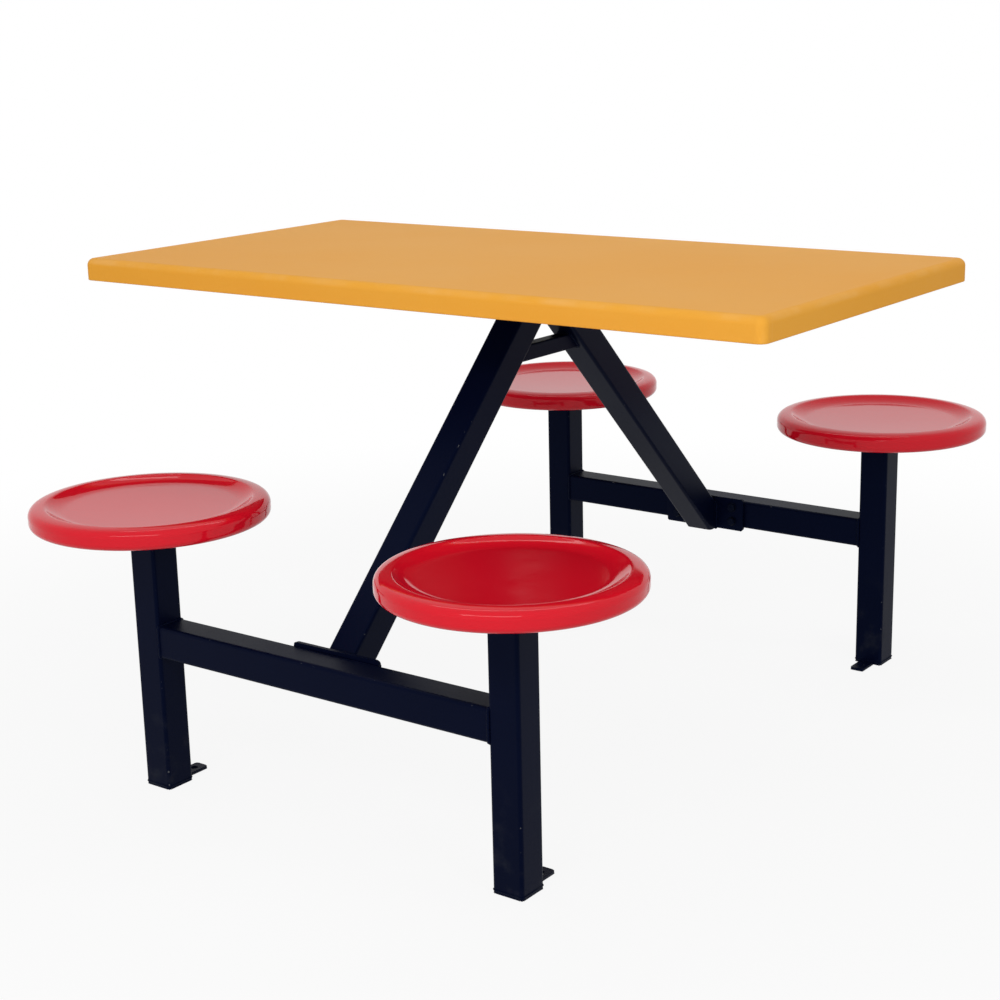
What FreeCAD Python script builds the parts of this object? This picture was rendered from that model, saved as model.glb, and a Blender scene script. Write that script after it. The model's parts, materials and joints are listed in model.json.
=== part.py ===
import FreeCAD, Part
import math
import os

# Canteen table with four swivel seats on one welded steel frame.
# Millimetres, +Z up, +X along the tabletop, origin on the floor under the middle of the top.

# Tabletop: a moulded glass-fibre tray over a plywood board
top_length = 1265.0
top_width = 645.0
top_height = 762.0
top_edge_depth = 36.0
top_skin = 4.0
top_corner_radius = 14.0
top_arris_radius = 12.0
top_hem_radius = 1.8
core_thickness = 20.0
core_gap = 0.3

# Square tube of the posts, rails and legs
tube_size = 50.0
tube_wall = 3.0
tube_corner = 5.0

# Frame, which stands off the middle of the top towards +X
frame_shift = 61.0
post_spacing_x = 664.0
post_spacing_y = 1090.0
rail_height = 238.0
leg_foot_drop = 16.0
apex_gap = 1.0

# Small tube that ties the two legs under the top
brace_size = 25.0
brace_wall = 2.0
brace_corner = 3.0
brace_drop = 74.0

# Bearers under the board: one across the legs, two along the top
cross_width = 60.0
cross_height = 40.0
cross_wall = 3.0
cross_corner = 5.0
bearer_end_inset = 155.0
bearer_width = 40.0
bearer_height = 25.0
bearer_wall = 2.0
bearer_corner = 3.0
bearer_inset = 115.0
cap_thickness = 3.0
cap_depth = 14.0
cap_clearance = 0.2

# Flange that bolts each leg to its rail
flange_length = 160.0
flange_height = 60.0
flange_thickness = 6.0
flange_corner = 6.0
flange_bolt_spacing_x = 116.0
flange_bolt_spacing_z = 26.0

# Flange bolts and the nuts welded inside the rails
bolt_diameter = 8.0
bolt_head_across = 13.0
bolt_head_height = 5.3
bolt_washer_diameter = 17.0
bolt_washer_thickness = 1.6
bolt_hole_clearance = 0.5
bolt_tip = 2.0
nut_across = 13.0
nut_height = 6.5
thread_clearance = 0.1

# Screws that hold the board to the bearers
top_screw_diameter = 6.0
top_screw_head_across = 10.0
top_screw_head_height = 4.0
top_screw_washer_diameter = 13.0
top_screw_washer_thickness = 1.2
top_screw_bite = 14.0
top_screw_from_end = 70.0

# Foot plate with the tongue that is bolted to the floor
foot_thickness = 5.0
tongue_width = 25.0
tongue_length = 45.0
tongue_corner = 5.0
anchor_hole = 11.0
anchor_from_tip = 18.0

# Swivel bearing in the head of each post
head_thickness = 6.0
housing_diameter = 38.0
housing_bore = 30.0
housing_length = 70.0
bush_length = 24.0
bush_flange_diameter = 46.0
bush_flange_thickness = 3.0
bush_clearance = 0.05
spindle_diameter = 25.0
spindle_clearance = 0.08
collar_diameter = 44.0
collar_height = 6.0
end_float = 0.3
thread_diameter = 20.0
thread_tip = 3.0
lock_nut_across = 30.0
lock_nut_height = 18.0
lock_washer_diameter = 37.0
lock_washer_thickness = 3.0

# Seat: a moulded dish with a rolled rim, and the steel plate under it
seat_diameter = 356.0
seat_height = 452.0
seat_skin = 5.0
seat_dish_depth = 12.0
floor_slope_degrees = 1.5
wall_slope_degrees = 35.0
inner_rim_radius = 8.0
crown_inset = 22.0
rim_fall_degrees = 20.0
rim_radius = 15.0
rim_skirt = 5.0
hem_radius = 10.0
hem_turn_degrees = 70.0
pad_diameter = 150.0
pad_thickness = 5.0
pad_flare = 8.0
seat_plate_size = 110.0
seat_plate_thickness = 5.0
seat_plate_corner = 15.0
seat_screw_spacing = 80.0
seat_screw_diameter = 6.0
seat_screw_head_across = 10.0
seat_screw_head_height = 4.0
seat_screw_washer_diameter = 13.0
seat_screw_washer_thickness = 1.2
seat_screw_bite = 9.0

# How far a cutting tool runs past the faces it cuts, and how close two ends count as one point
cut_overrun = 2.0
point_tolerance = 0.001

# Places that follow from the sizes above
post_x = post_spacing_x / 2
post_y = post_spacing_y / 2
core_bottom = top_height - top_skin - core_thickness
cross_bottom = core_bottom - cross_height
brace_height = cross_bottom - brace_drop
bearer_bottom = core_bottom - bearer_height
bearer_length = top_length - 2 * bearer_end_inset
top_screw_spacing = bearer_length / 2 - top_screw_from_end
bearer_spacing = top_width - 2 * bearer_inset
bearer_y = bearer_spacing / 2
rail_inner_y = post_y - tube_size / 2
flange_inner_y = rail_inner_y - flange_thickness
flange_bottom = rail_height - flange_height / 2
pad_bottom = seat_height - seat_dish_depth - seat_skin - pad_thickness
seat_plate_bottom = pad_bottom - seat_plate_thickness
head_top = seat_plate_bottom - collar_height - bush_flange_thickness
post_top = head_top - head_thickness
housing_bottom = post_top - housing_length
spindle_shoulder = housing_bottom - bush_flange_thickness - end_float

# The leg leans so that its foot meets the flange at the set height and its top stops at the middle
leg_rise = cross_bottom - rail_height + leg_foot_drop
leg_reach = flange_inner_y - apex_gap / 2
leg_lean = math.acos(tube_size / 2 / math.hypot(leg_reach, leg_rise)) - math.atan2(leg_rise, leg_reach)
leg_top_y = apex_gap / 2 + tube_size / 2 / math.cos(leg_lean)

ORIGIN = FreeCAD.Vector(0, 0, 0)
X_AXIS = FreeCAD.Vector(1, 0, 0)
Y_AXIS = FreeCAD.Vector(0, 1, 0)
Z_AXIS = FreeCAD.Vector(0, 0, 1)


def moved(shape, x, y, z):
    """A copy of the shape, shifted."""
    copy = shape.copy()
    copy.translate(FreeCAD.Vector(x, y, z))
    return copy


def turned(shape, axis, degrees):
    """A copy of the shape, turned about an axis through the origin."""
    copy = shape.copy()
    copy.rotate(ORIGIN, axis, degrees)
    return copy


def cylinder(diameter, bottom, top):
    """An upright cylinder on the Z axis between two heights."""
    return Part.makeCylinder(diameter / 2, top - bottom, FreeCAD.Vector(0, 0, bottom))


def ring(outer, bore, bottom, top):
    """An upright ring on the Z axis between two heights."""
    hole = cylinder(bore, bottom - cut_overrun, top + cut_overrun)
    return cylinder(outer, bottom, top).cut(hole)


def hexagon(across, bottom, top):
    """An upright hexagonal prism on the Z axis, sized across its flats."""
    corner = across / math.sqrt(3)
    angles = [math.radians(60 * step) for step in range(7)]
    points = [FreeCAD.Vector(corner * math.cos(a), corner * math.sin(a), bottom) for a in angles]
    return Part.Face(Part.makePolygon(points)).extrude(Z_AXIS * (top - bottom))


def arc(centre_r, centre_z, radius, start, end):
    """An arc in the XZ plane, from one angle to another, in radians from +X towards +Z."""
    def point(angle):
        return FreeCAD.Vector(centre_r + radius * math.cos(angle), 0, centre_z + radius * math.sin(angle))
    return Part.Arc(point(start), point((start + end) / 2), point(end)).toShape()


def closed_face(edges):
    """A face inside edges that follow each other, with straight lines where they don't meet."""
    joins = []
    for edge, following in zip(edges, edges[1:] + edges[:1]):
        start = edge.lastVertex(True).Point
        end = following.firstVertex(True).Point
        if start.distanceToPoint(end) > point_tolerance:
            joins.append(Part.makeLine(start, end))
    return Part.Face(Part.Wire(Part.__sortEdges__(edges + joins)))


def slab(width, depth, thickness, corner):
    """A plate with rounded corners, centred on the Z axis and standing on z = 0."""
    block = Part.makeBox(width, depth, thickness, FreeCAD.Vector(-width / 2, -depth / 2, 0))
    upright = [edge for edge in block.Edges if abs(edge.tangentAt(0).z) > 0.5]
    return block.makeFillet(corner, upright)


def hollow_section(width, depth, length, wall, corner):
    """A rolled rectangular tube along +Z, with rounded corners inside and out."""
    inner = slab(width - 2 * wall, depth - 2 * wall, length + 2 * cut_overrun, corner - wall)
    return slab(width, depth, length, corner).cut(moved(inner, 0, 0, -cut_overrun))


def fastener(diameter, length, head_across, head_height, washer_diameter, washer_thickness):
    """A hexagon screw with a washer face, its shank pointing up from z = 0."""
    washer = cylinder(washer_diameter, -washer_thickness, 0)
    head = hexagon(head_across, -washer_thickness - head_height, -washer_thickness)
    shank = cylinder(diameter, 0, length)
    return washer.fuse([head, shank]).removeSplitter()


def grid(spacing_x, spacing_y):
    """The four corners of a rectangle of holes."""
    return [(sx * spacing_x / 2, sy * spacing_y / 2) for sx in (-1, 1) for sy in (-1, 1)]


def rounded_tray(length, width, corner, arris, bottom, top):
    """A block with round corners whose top edge is rounded over."""
    block = moved(slab(length, width, top - bottom, corner), 0, 0, bottom)
    rim = [edge for edge in block.Edges if edge.CenterOfMass.z > top - arris / 2]
    return block.makeFillet(arris, rim)


def tabletop_shell():
    """The moulded tray: top face, rolled edge and an open underside."""
    bottom = top_height - top_edge_depth
    outer = rounded_tray(top_length, top_width, top_corner_radius, top_arris_radius, bottom, top_height)
    hollow = rounded_tray(
        top_length - 2 * top_skin, top_width - 2 * top_skin, top_corner_radius - top_skin,
        top_arris_radius - top_skin, bottom - cut_overrun, top_height - top_skin)
    tray = outer.cut(hollow)
    hem = [edge for edge in tray.Edges if abs(edge.BoundBox.ZMax - bottom) < top_hem_radius / 2]
    return tray.makeFillet(top_hem_radius, hem)


def top_screw_places():
    """Where the board screws stand, along both bearers."""
    rows = (-bearer_y, bearer_y)
    columns = (-top_screw_spacing, 0, top_screw_spacing)
    return [(x, y) for y in rows for x in columns]


def tabletop_core():
    """The plywood board bonded under the tray's top face, with holes for its screws."""
    margin = 2 * (top_skin + core_gap)
    board = rounded_tray(
        top_length - margin, top_width - margin, top_corner_radius - top_skin - core_gap,
        top_arris_radius - top_skin, core_bottom, top_height - top_skin)
    pilot = cylinder(
        top_screw_diameter + 2 * thread_clearance, core_bottom - cut_overrun,
        core_bottom + top_screw_bite + thread_clearance)
    return board.cut([moved(pilot, x, y, 0) for x, y in top_screw_places()])


def tabletop_screws():
    """Hexagon screws up through the bearers into the board."""
    length = bearer_height + top_screw_bite
    screw = fastener(
        top_screw_diameter, length, top_screw_head_across, top_screw_head_height,
        top_screw_washer_diameter, top_screw_washer_thickness)
    return Part.makeCompound([moved(screw, x, y, bearer_bottom) for x, y in top_screw_places()])


def cross_bearer():
    """The tube across the two leg tops, between the long bearers."""
    length = bearer_spacing - bearer_width
    tube = hollow_section(cross_width, cross_height, length, cross_wall, cross_corner)
    return moved(turned(tube, X_AXIS, -90), 0, -length / 2, cross_bottom + cross_height / 2)


def bearer(y):
    """One flat tube along the top, drilled through for the board screws."""
    tube = hollow_section(bearer_height, bearer_width, bearer_length, bearer_wall, bearer_corner)
    middle = bearer_bottom + bearer_height / 2
    lying = moved(turned(tube, Y_AXIS, 90), -bearer_length / 2, y, middle)
    drill = cylinder(
        top_screw_diameter + 2 * bolt_hole_clearance, bearer_bottom - cut_overrun,
        core_bottom + cut_overrun)
    return lying.cut([moved(drill, x, row, 0) for x, row in top_screw_places() if row == y])


def bearer_end_caps():
    """Moulded plugs in the four open ends of the long bearers."""
    play = 2 * (bearer_wall + cap_clearance)
    head = slab(bearer_height, bearer_width, cap_thickness, bearer_corner)
    plug = slab(bearer_height - play, bearer_width - play, cap_depth, bearer_corner - bearer_wall)
    cap = turned(head.fuse(moved(plug, 0, 0, -cap_depth)).removeSplitter(), Y_AXIS, 90)
    middle = bearer_bottom + bearer_height / 2
    right = [moved(cap, bearer_length / 2, y, middle) for y in (-bearer_y, bearer_y)]
    left = [shape.mirror(ORIGIN, X_AXIS) for shape in right]
    return Part.makeCompound(right + left)


def leg_bar(section):
    """A bar on the axis of the back leg, running past both of its ends."""
    length = 2 * math.hypot(leg_reach, leg_rise)
    bar = turned(moved(section(length), 0, 0, -length / 2), X_AXIS, math.degrees(leg_lean))
    return moved(bar, 0, leg_top_y, cross_bottom)


def back_leg():
    """The leaning tube, cut level under the cross bearer and square on the flange."""
    tube = leg_bar(lambda length: hollow_section(tube_size, tube_size, length, tube_wall, tube_corner))
    keep = Part.makeBox(
        2 * tube_size, flange_inner_y, cross_bottom - flange_bottom,
        FreeCAD.Vector(-tube_size, 0, flange_bottom))
    return tube.common(keep)


def leg_brace():
    """The small level tube between the legs, its ends cut to their slope."""
    half = leg_top_y + brace_drop * math.tan(leg_lean)
    tube = hollow_section(brace_size, brace_size, 2 * half, brace_wall, brace_corner)
    level = moved(turned(tube, X_AXIS, -90), 0, -half, brace_height)
    back = leg_bar(lambda length: slab(tube_size, tube_size, length, tube_corner))
    return level.cut([back, back.mirror(ORIGIN, Y_AXIS)])


def flange_places():
    """Where the flange bolts stand, as x and height."""
    return [(x, rail_height + z) for x, z in grid(flange_bolt_spacing_x, flange_bolt_spacing_z)]


def back_flange():
    """The plate welded to the leg's foot and bolted to the rail."""
    plate = slab(flange_length, flange_height, flange_thickness, flange_corner)
    hole = cylinder(bolt_diameter + 2 * bolt_hole_clearance, -cut_overrun, flange_thickness + cut_overrun)
    holes = [moved(hole, x, z, 0) for x, z in grid(flange_bolt_spacing_x, flange_bolt_spacing_z)]
    return moved(turned(plate.cut(holes), X_AXIS, -90), 0, flange_inner_y, rail_height)


def back_flange_bolts():
    """Four hexagon bolts from the inner side of the flange into the rail."""
    length = flange_thickness + tube_wall + nut_height + bolt_tip
    bolt = fastener(
        bolt_diameter, length, bolt_head_across, bolt_head_height,
        bolt_washer_diameter, bolt_washer_thickness)
    lying = turned(bolt, X_AXIS, -90)
    return Part.makeCompound([moved(lying, x, flange_inner_y, z) for x, z in flange_places()])


def back_rail_nuts():
    """The nuts welded inside the rail behind the flange."""
    hole = cylinder(bolt_diameter + 2 * thread_clearance, -cut_overrun, nut_height + cut_overrun)
    nut = turned(hexagon(nut_across, 0, nut_height).cut(hole), X_AXIS, -90)
    return Part.makeCompound([moved(nut, x, rail_inner_y + tube_wall, z) for x, z in flange_places()])


def back_rail():
    """The tube between two posts, drilled in its inner wall for the flange bolts."""
    length = post_spacing_x - tube_size
    tube = hollow_section(tube_size, tube_size, length, tube_wall, tube_corner)
    lying = moved(turned(tube, Y_AXIS, 90), -length / 2, post_y, rail_height)
    hole = cylinder(bolt_diameter + 2 * bolt_hole_clearance, -cut_overrun, tube_wall + cut_overrun)
    drill = turned(hole, X_AXIS, -90)
    return lying.cut([moved(drill, x, rail_inner_y, z) for x, z in flange_places()])


def post():
    """One upright tube, from its foot plate to its head plate."""
    tube = hollow_section(tube_size, tube_size, post_top - foot_thickness, tube_wall, tube_corner)
    return moved(tube, 0, 0, foot_thickness)


def foot_plate():
    """The plate that closes the post, with a drilled tongue towards -Y for the floor anchor."""
    square = slab(tube_size, tube_size, foot_thickness, tube_corner)
    tip = tube_size / 2 + tongue_length
    tongue = moved(slab(tongue_width, tip, foot_thickness, tongue_corner), 0, -tip / 2, 0)
    hole = cylinder(anchor_hole, -cut_overrun, foot_thickness + cut_overrun)
    plate = square.fuse(tongue).removeSplitter()
    return plate.cut(moved(hole, 0, anchor_from_tip - tip, 0))


def head_plate():
    """The plate welded on the post, bored for the upper bush."""
    plate = slab(tube_size, tube_size, head_thickness, tube_corner)
    bore = cylinder(housing_bore, -cut_overrun, head_thickness + cut_overrun)
    return moved(plate.cut(bore), 0, 0, post_top)


def bearing_housing():
    """The sleeve welded under the head plate, inside the post."""
    return ring(housing_diameter, housing_bore, housing_bottom, post_top)


def swivel_bushes():
    """The two flanged bushes, one from above and one from below."""
    bore = spindle_diameter + 2 * spindle_clearance
    sleeve = housing_bore - 2 * bush_clearance
    upper_sleeve = ring(sleeve, bore, head_top - bush_length, head_top)
    upper_flange = ring(bush_flange_diameter, bore, head_top, head_top + bush_flange_thickness)
    lower_sleeve = ring(sleeve, bore, housing_bottom, housing_bottom + bush_length)
    lower_flange = ring(housing_diameter, bore, housing_bottom - bush_flange_thickness, housing_bottom)
    upper = upper_sleeve.fuse(upper_flange).removeSplitter()
    lower = lower_sleeve.fuse(lower_flange).removeSplitter()
    return Part.makeCompound([upper, lower])


def spindle():
    """The turned spindle: collar on the bush, plain shaft and threaded end."""
    thread_length = lock_washer_thickness + lock_nut_height + thread_tip
    collar = cylinder(collar_diameter, seat_plate_bottom - collar_height, seat_plate_bottom)
    shaft = cylinder(spindle_diameter, spindle_shoulder, seat_plate_bottom - collar_height)
    thread = cylinder(thread_diameter, spindle_shoulder - thread_length, spindle_shoulder)
    return collar.fuse([shaft, thread]).removeSplitter()


def lock_nut():
    """The flanged lock nut drawn up against the spindle's shoulder."""
    washer_bottom = spindle_shoulder - lock_washer_thickness
    washer = cylinder(lock_washer_diameter, washer_bottom, spindle_shoulder)
    body = hexagon(lock_nut_across, washer_bottom - lock_nut_height, washer_bottom)
    bore = cylinder(
        thread_diameter + 2 * thread_clearance, washer_bottom - lock_nut_height - cut_overrun,
        spindle_shoulder + cut_overrun)
    return washer.fuse(body).removeSplitter().cut(bore)


def seat_plate():
    """The steel plate under the seat, drilled for its four screws."""
    plate = slab(seat_plate_size, seat_plate_size, seat_plate_thickness, seat_plate_corner)
    hole = cylinder(
        seat_screw_diameter + 2 * bolt_hole_clearance, -cut_overrun, seat_plate_thickness + cut_overrun)
    holes = [moved(hole, x, y, 0) for x, y in grid(seat_screw_spacing, seat_screw_spacing)]
    return moved(plate.cut(holes), 0, 0, seat_plate_bottom)


def seat_screws():
    """Four hexagon screws up through the plate into the seat's pad."""
    length = seat_plate_thickness + seat_screw_bite
    screw = fastener(
        seat_screw_diameter, length, seat_screw_head_across, seat_screw_head_height,
        seat_screw_washer_diameter, seat_screw_washer_thickness)
    places = grid(seat_screw_spacing, seat_screw_spacing)
    return Part.makeCompound([moved(screw, x, y, seat_plate_bottom) for x, y in places])


def seat_profile():
    """Half section of the dish: shallow floor, bend up to a rolled rim, short skirt and turned-in hem."""
    down = -math.pi / 2
    up = math.pi / 2
    floor_slope = math.radians(floor_slope_degrees)
    wall_slope = math.radians(wall_slope_degrees)
    rim_fall = math.radians(rim_fall_degrees)
    hem_end = -math.radians(hem_turn_degrees)
    # The rim falls from its crown on a wide arc, then turns down to the skirt on a tight one
    crown_r = seat_diameter / 2 - crown_inset
    outer_rim_radius = (crown_inset - rim_radius * (1 - math.sin(rim_fall))) / math.sin(rim_fall)
    rim_r = seat_diameter / 2 - rim_radius
    rim_z = seat_height - outer_rim_radius + (outer_rim_radius - rim_radius) * math.cos(rim_fall)
    hem_r = seat_diameter / 2 - hem_radius
    hem_z = rim_z - rim_skirt
    # The bend between floor and rim has the one radius that gives the set depth
    wall_r = crown_r - inner_rim_radius * math.sin(wall_slope)
    wall_z = seat_height - inner_rim_radius * (1 - math.cos(wall_slope))
    wall_rise = wall_z - seat_height + seat_dish_depth
    floor_share = math.tan(floor_slope / 2)
    run_share = math.sin(wall_slope) - math.sin(floor_slope)
    rise_share = math.cos(floor_slope) - math.cos(wall_slope)
    bend_radius = (wall_rise - wall_r * floor_share) / (rise_share - run_share * floor_share)
    bend_r = wall_r - bend_radius * math.sin(wall_slope)
    bend_z = wall_z + bend_radius * math.cos(wall_slope)
    floor_radius = (wall_r - bend_radius * run_share) / math.sin(floor_slope)
    floor_z = seat_height - seat_dish_depth + floor_radius
    upper_side = [
        arc(0, floor_z, floor_radius, down, down + floor_slope),
        arc(bend_r, bend_z, bend_radius, down + floor_slope, down + wall_slope),
        arc(crown_r, seat_height - inner_rim_radius, inner_rim_radius, up + wall_slope, up),
        arc(crown_r, seat_height - outer_rim_radius, outer_rim_radius, up, up - rim_fall),
        arc(rim_r, rim_z, rim_radius, up - rim_fall, 0),
        arc(hem_r, hem_z, hem_radius, 0, hem_end),
    ]
    under_side = [
        arc(hem_r, hem_z, hem_radius - seat_skin, hem_end, 0),
        arc(rim_r, rim_z, rim_radius - seat_skin, 0, up - rim_fall),
        arc(crown_r, seat_height - outer_rim_radius, outer_rim_radius - seat_skin, up - rim_fall, up),
        arc(crown_r, seat_height - inner_rim_radius, inner_rim_radius - seat_skin, up, up + wall_slope),
        arc(bend_r, bend_z, bend_radius + seat_skin, down + wall_slope, down + floor_slope),
        arc(0, floor_z, floor_radius + seat_skin, down + floor_slope, down),
    ]
    return closed_face(upper_side + under_side)


def seat_shell():
    """The moulded dish turned from its half section, with the screw pad under it and its pilot holes."""
    dish = seat_profile().revolve(ORIGIN, Z_AXIS, 360)
    pad_r = pad_diameter / 2
    pad = Part.makeCone(
        pad_r, pad_r + pad_flare, pad_thickness + seat_skin / 2, FreeCAD.Vector(0, 0, pad_bottom))
    pilot = cylinder(
        seat_screw_diameter + 2 * thread_clearance, pad_bottom - cut_overrun,
        pad_bottom + seat_screw_bite + thread_clearance)
    places = grid(seat_screw_spacing, seat_screw_spacing)
    return dish.fuse(pad).removeSplitter().cut([moved(pilot, x, y, 0) for x, y in places])


corners = {
    "front_left": (-1, -1),
    "front_right": (1, -1),
    "back_left": (-1, 1),
    "back_right": (1, 1),
}


def top_pieces():
    """The top with the bearers that run along it."""
    return {
        "tabletop_shell": tabletop_shell(),
        "tabletop_core": tabletop_core(),
        "tabletop_screws": tabletop_screws(),
        "front_bearer": bearer(-bearer_y),
        "back_bearer": bearer(bearer_y),
        "bearer_end_caps": bearer_end_caps(),
    }


def frame_pieces():
    """The frame's pieces that stand once, or once at the front and once at the back."""
    single = {
        "cross_bearer": cross_bearer(),
        "leg_brace": leg_brace(),
    }
    paired = {
        "leg": back_leg(),
        "flange": back_flange(),
        "flange_bolts": back_flange_bolts(),
        "rail_nuts": back_rail_nuts(),
        "rail": back_rail(),
    }
    pieces = {name: moved(shape, frame_shift, 0, 0) for name, shape in single.items()}
    for name, shape in paired.items():
        pieces["back_" + name] = moved(shape, frame_shift, 0, 0)
        pieces["front_" + name] = pieces["back_" + name].mirror(ORIGIN, Y_AXIS)
    return pieces


def corner_pieces():
    """Each post with its bearing, and the seat that turns on it."""
    stack = {
        "post": post(),
        "foot_plate": foot_plate(),
        "head_plate": head_plate(),
        "bearing_housing": bearing_housing(),
        "swivel_bushes": swivel_bushes(),
        "spindle": spindle(),
        "lock_nut": lock_nut(),
        "seat_plate": seat_plate(),
        "seat_screws": seat_screws(),
        "seat_shell": seat_shell(),
    }
    pieces = {}
    for corner, (side_x, side_y) in corners.items():
        for name, shape in stack.items():
            facing = shape if side_y > 0 else turned(shape, Z_AXIS, 180)
            pieces[corner + "_" + name] = moved(facing, frame_shift + side_x * post_x, side_y * post_y, 0)
    return pieces


os.makedirs("parts", exist_ok=True)
for name, shape in {**top_pieces(), **frame_pieces(), **corner_pieces()}.items():
    shape.exportStep("parts/" + name + ".step")
    print(name, len(shape.Solids), round(shape.Volume), shape.isValid())
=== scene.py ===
# %% [markdown]
# # A canteen table with four swivel seats
# A moulded top stands on two leaning legs, and four moulded seats turn on square posts.
# The packed CAD model is loaded first. It gives every piece its place, so nothing is fitted by eye,
# and a new piece only has to be drawn where its solid already stands.

# %% Load the packed model
import functools
import json
import math

import bmesh
import bpy
from mathutils import Matrix, Vector


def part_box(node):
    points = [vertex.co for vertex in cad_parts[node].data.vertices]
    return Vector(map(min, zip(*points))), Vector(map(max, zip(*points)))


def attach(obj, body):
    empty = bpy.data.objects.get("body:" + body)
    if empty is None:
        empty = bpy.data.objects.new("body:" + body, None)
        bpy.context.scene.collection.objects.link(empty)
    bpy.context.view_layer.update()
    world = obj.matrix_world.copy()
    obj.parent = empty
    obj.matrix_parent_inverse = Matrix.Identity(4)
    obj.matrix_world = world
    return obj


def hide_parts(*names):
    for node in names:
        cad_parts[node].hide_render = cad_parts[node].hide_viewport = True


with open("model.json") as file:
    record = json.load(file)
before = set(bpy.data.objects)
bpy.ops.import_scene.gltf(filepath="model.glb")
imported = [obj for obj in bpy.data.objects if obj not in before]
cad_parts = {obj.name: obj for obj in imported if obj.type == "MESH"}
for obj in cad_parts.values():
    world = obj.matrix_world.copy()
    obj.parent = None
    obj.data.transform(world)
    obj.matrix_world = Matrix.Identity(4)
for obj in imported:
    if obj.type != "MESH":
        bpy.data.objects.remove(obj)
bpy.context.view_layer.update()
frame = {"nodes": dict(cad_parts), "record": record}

scene = bpy.context.scene
scene.view_settings.view_transform = "Standard"

# %% [markdown]
# ## The camera
# The picture was taken from the right of the front side, a little above the top, with a lens that is
# almost twice as long as the sensor is wide. A camera could be turned with a constraint that tracks
# the table, but the picture is also tilted a little, so its three directions are written out here.

# %% Camera
picture_width = 1000
focal_length = 1865.8
eye = Vector((1.7485, -2.3877, 1.1441))
azimuth, elevation, roll = (math.radians(degrees) for degrees in (36.656, 14.747, -1.326))
towards_eye = Vector((
    math.sin(azimuth) * math.cos(elevation),
    -math.cos(azimuth) * math.cos(elevation),
    math.sin(elevation)))
level_right = Vector((math.cos(azimuth), math.sin(azimuth), 0))
level_up = towards_eye.cross(level_right)
right = level_right * math.cos(roll) + level_up * math.sin(roll)
up = level_up * math.cos(roll) - level_right * math.sin(roll)

camera = bpy.data.objects.new("camera", bpy.data.cameras.new("camera"))
camera.data.sensor_width = 36
camera.data.lens = camera.data.sensor_width * focal_length / picture_width
camera.matrix_world = Matrix.Translation(eye) @ Matrix((right, up, towards_eye)).transposed().to_4x4()
scene.collection.objects.link(camera)
scene.camera = camera
print("lens", round(camera.data.lens, 1), "mm")

# %% [markdown]
# ## Sums with sockets
# A finish is a small network of nodes. Placing and joining every Math node by hand hides what a finish
# does, so this class wraps one output socket and lets Python's own signs build the nodes: with it,
# `0.4 + 0.1 * cloud` adds two Math nodes and joins them. Colours and directions go through Mix and
# Vector Math, because a Math node would turn a colour grey.

# %% A socket that takes part in sums
class Wire:
    """The output of a node. Sums with it add Math nodes; `node` adds any other kind."""

    def __init__(self, tree, socket=None):
        self.tree = tree
        self.socket = socket

    def node(self, kind, settings, sockets, output=0):
        """Adds a node: its settings first, then a value, a link or a list of links for each socket."""
        made = self.tree.nodes.new(kind)
        for name, value in settings.items():
            setattr(made, name, value)
        for name, value in sockets.items():
            for item in value if isinstance(value, list) else [value]:
                if isinstance(item, Wire):
                    self.tree.links.new(item.socket, made.inputs[name])
                else:
                    made.inputs[name].default_value = item
        return Wire(self.tree, made.outputs[output] if made.outputs else None)

    def sum(self, operation, first, second=0.0):
        """A Math node on one or two values."""
        return self.node("ShaderNodeMath", {"operation": operation}, {0: first, 1: second})

    def __add__(self, other):
        return self.sum("ADD", self, other)

    def __radd__(self, other):
        return self.sum("ADD", other, self)

    def __sub__(self, other):
        return self.sum("SUBTRACT", self, other)

    def __rsub__(self, other):
        return self.sum("SUBTRACT", other, self)

    def __mul__(self, other):
        return self.sum("MULTIPLY", self, other)

    def __rmul__(self, other):
        return self.sum("MULTIPLY", other, self)

    def __truediv__(self, other):
        return self.sum("DIVIDE", self, other)

    def __rtruediv__(self, other):
        return self.sum("DIVIDE", other, self)

    def ramp(self, low, high):
        """0 at low and 1 at high, with a smooth step between; low may be the larger of the two."""
        return self.node(
            "ShaderNodeMapRange", {"interpolation_type": "SMOOTHSTEP"},
            {"Value": self, "From Min": low, "From Max": high})

    def paint(self, first, second):
        """A colour that goes from the first to the second as this value goes from 0 to 1."""
        return self.node("ShaderNodeMix", {"data_type": "RGBA"}, {0: self, 6: first, 7: second}, 2)

    def stretched(self, x, y, z, turn=0.0):
        """These coordinates turned about Z and stretched, for patterns that run one way."""
        return self.node(
            "ShaderNodeMapping", {}, {"Vector": self, "Rotation": (0, 0, turn), "Scale": (x, y, z)})

    def grain(self, cells, detail=2.0):
        """Noise between 0 and 1, with so many cells to the metre."""
        return self.node("ShaderNodeTexNoise", {}, {"Vector": self, "Scale": cells, "Detail": detail})


print("methods of Wire:", [name for name in vars(Wire) if not name.startswith("_")])

# %% [markdown]
# ## The studio
# The picture has a plain white ground. A lamp strong enough to burn a floor white would burn the table
# too, so the white comes from the Light Path node: a ray that goes straight to the camera, or that
# arrives by way of gloss or glass, sees white, while the light that falls on the table stays plain.
# Near the table the floor keeps part of its own shading, so the table still has a soft shadow.

# %% World and floor
def backdrop_rays(wire):
    """1 for the rays that show the backdrop, 0 for those that only carry light."""
    rays = ("Is Camera Ray", "Is Glossy Ray", "Is Transmission Ray")
    camera_ray, glossy_ray, glass_ray = (wire.node("ShaderNodeLightPath", {}, {}, ray) for ray in rays)
    return wire.sum("MAXIMUM", camera_ray, wire.sum("MAXIMUM", glossy_ray, glass_ray))


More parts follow.
